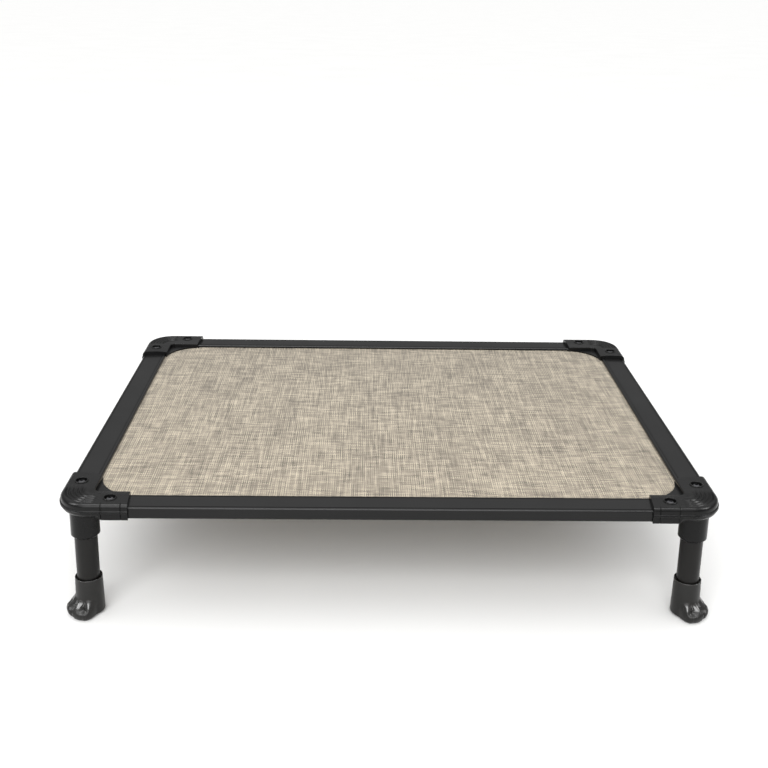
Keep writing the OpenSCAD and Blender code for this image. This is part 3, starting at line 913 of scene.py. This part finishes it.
# %% The sheet, its rounded corners and its loops
mat_low, mat_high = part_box("mat")
MAT_T = 0.9
HEM_IN, HEM_R = 30.6, 2.8
hem_x, hem_y = OUTER_X - HEM_IN, OUTER_Y - HEM_IN
MAT_Z = (mat_low.z + mat_high.z) / 2 / MM
SHEET_X, SHEET_Y = hem_x - HEM_R + MAT_T / 2, hem_y - HEM_R + MAT_T / 2
MAT_CORNER = 58.0
LOOP_X, LOOP_Y = 623.1, 445.1
LOOP_STEPS = 40

bend_columns = [SHEET_X - MAT_CORNER + MAT_CORNER * math.sin(a) for a in np.linspace(0, math.pi / 2, 15)]
columns = [-x for x in reversed(bend_columns)]
columns += list(np.linspace(-bend_columns[0], bend_columns[0], 110))[1:-1]
columns += bend_columns


def half_width(x):
    """Half the depth of the sheet at this place along it, less at its rounded corners."""
    past = abs(x) - (SHEET_X - MAT_CORNER)
    return SHEET_Y - (MAT_CORNER - math.sqrt(max(MAT_CORNER**2 - past**2, 0)) if past > 0 else 0)


def dip(x, y):
    """Height of the cloth against a flat plane: a shallow dip and soft ripples that die out at the rails."""
    u, v = x / SHEET_X, y / SHEET_Y
    hold = max(0, (1 - u**4)) * max(0, (1 - v**4))
    ripple = 0.12 * math.sin(9.3 * u + 2.1 * v + 0.7) + 0.1 * math.sin(7.1 * v - 3.3 * u + 1.9)
    return hold * (-0.9 * (1 - 0.5 * (u * u + v * v)) + ripple)


sheet_rows = np.linspace(-1, 1, 91)
top_points = [(x, half_width(x) * t) for x in columns for t in sheet_rows]
mat_points = [(x, y, MAT_Z + MAT_T / 2 + dip(x, y)) for x, y in top_points]
mat_points += [(x, y, MAT_Z - MAT_T / 2 + dip(x, y)) for x, y in top_points]
count, across = len(top_points), len(sheet_rows)
mat_faces = []
for i in range(len(columns) - 1):
    for k in range(across - 1):
        a, b, c, d = i * across + k, (i + 1) * across + k, (i + 1) * across + k + 1, i * across + k + 1
        mat_faces += [(a, b, c, d), (a + count, d + count, c + count, b + count)]
rim = [k for k in range(across)] + [i * across + across - 1 for i in range(1, len(columns))]
rim += [(len(columns) - 1) * across + k for k in range(across - 2, -1, -1)]
rim += [i * across for i in range(len(columns) - 2, 0, -1)]
for k, a in enumerate(rim):
    b = rim[(k + 1) % len(rim)]
    mat_faces.append((a, b, b + count, a + count))
mat = solid("mat_cloth", (mat_points, mat_faces))


def loop(length, along_x, place):
    """A tube of cloth round a rod, as long as the loop, along one side of the sheet."""
    ring = [(r * math.cos(a), r * math.sin(a)) for r in (HEM_R, HEM_R - MAT_T)
            for a in np.linspace(0, 2 * math.pi, LOOP_STEPS, endpoint=False)]
    points, faces = [], []
    for end in (-length / 2, length / 2):
        points += [(end, place + u, MAT_Z + w) if along_x else (place + u, end, MAT_Z + w) for u, w in ring]
    inner, far, far_inner = LOOP_STEPS, 2 * LOOP_STEPS, 3 * LOOP_STEPS
    for k in range(LOOP_STEPS):
        n = (k + 1) % LOOP_STEPS
        faces += [(k, n, far + n, far + k), (inner + k, far_inner + k, far_inner + n, inner + n)]
        faces += [(k, inner + k, inner + n, n), (far + k, far + n, far_inner + n, far_inner + k)]
    return points, faces


for sign in (-1, 1):
    cut_or_join(mat, solid("loop", loop(LOOP_X, True, sign * hem_y)), "UNION")
    cut_or_join(mat, solid("loop", loop(LOOP_Y, False, sign * hem_x)), "UNION")
finished(mat, CLOTH, 60)
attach(mat, BODY)
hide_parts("mat")
print("mat", len(mat.data.polygons), "faces, sheet", round(2 * SHEET_X), "x", round(2 * SHEET_Y), "mm")

# %% [markdown]
# ## Parts shown as the frame has them
# The rails, tubes, rods and nuts are plain extrusions and stock parts, so their shapes are right as they
# stand. Only their finishes are set here.

# %% Finishes on the frame's own parts
for prefix, finish in (("rail_", RAIL_COAT), ("leg_tube_", TUBE_COAT), ("hem_rod_", ROD_PLASTIC),
                       ("corner_nuts", BOLT_STEEL)):
    for node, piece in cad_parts.items():
        if node.startswith(prefix):
            for place in piece.material_slots:
                place.material = finish
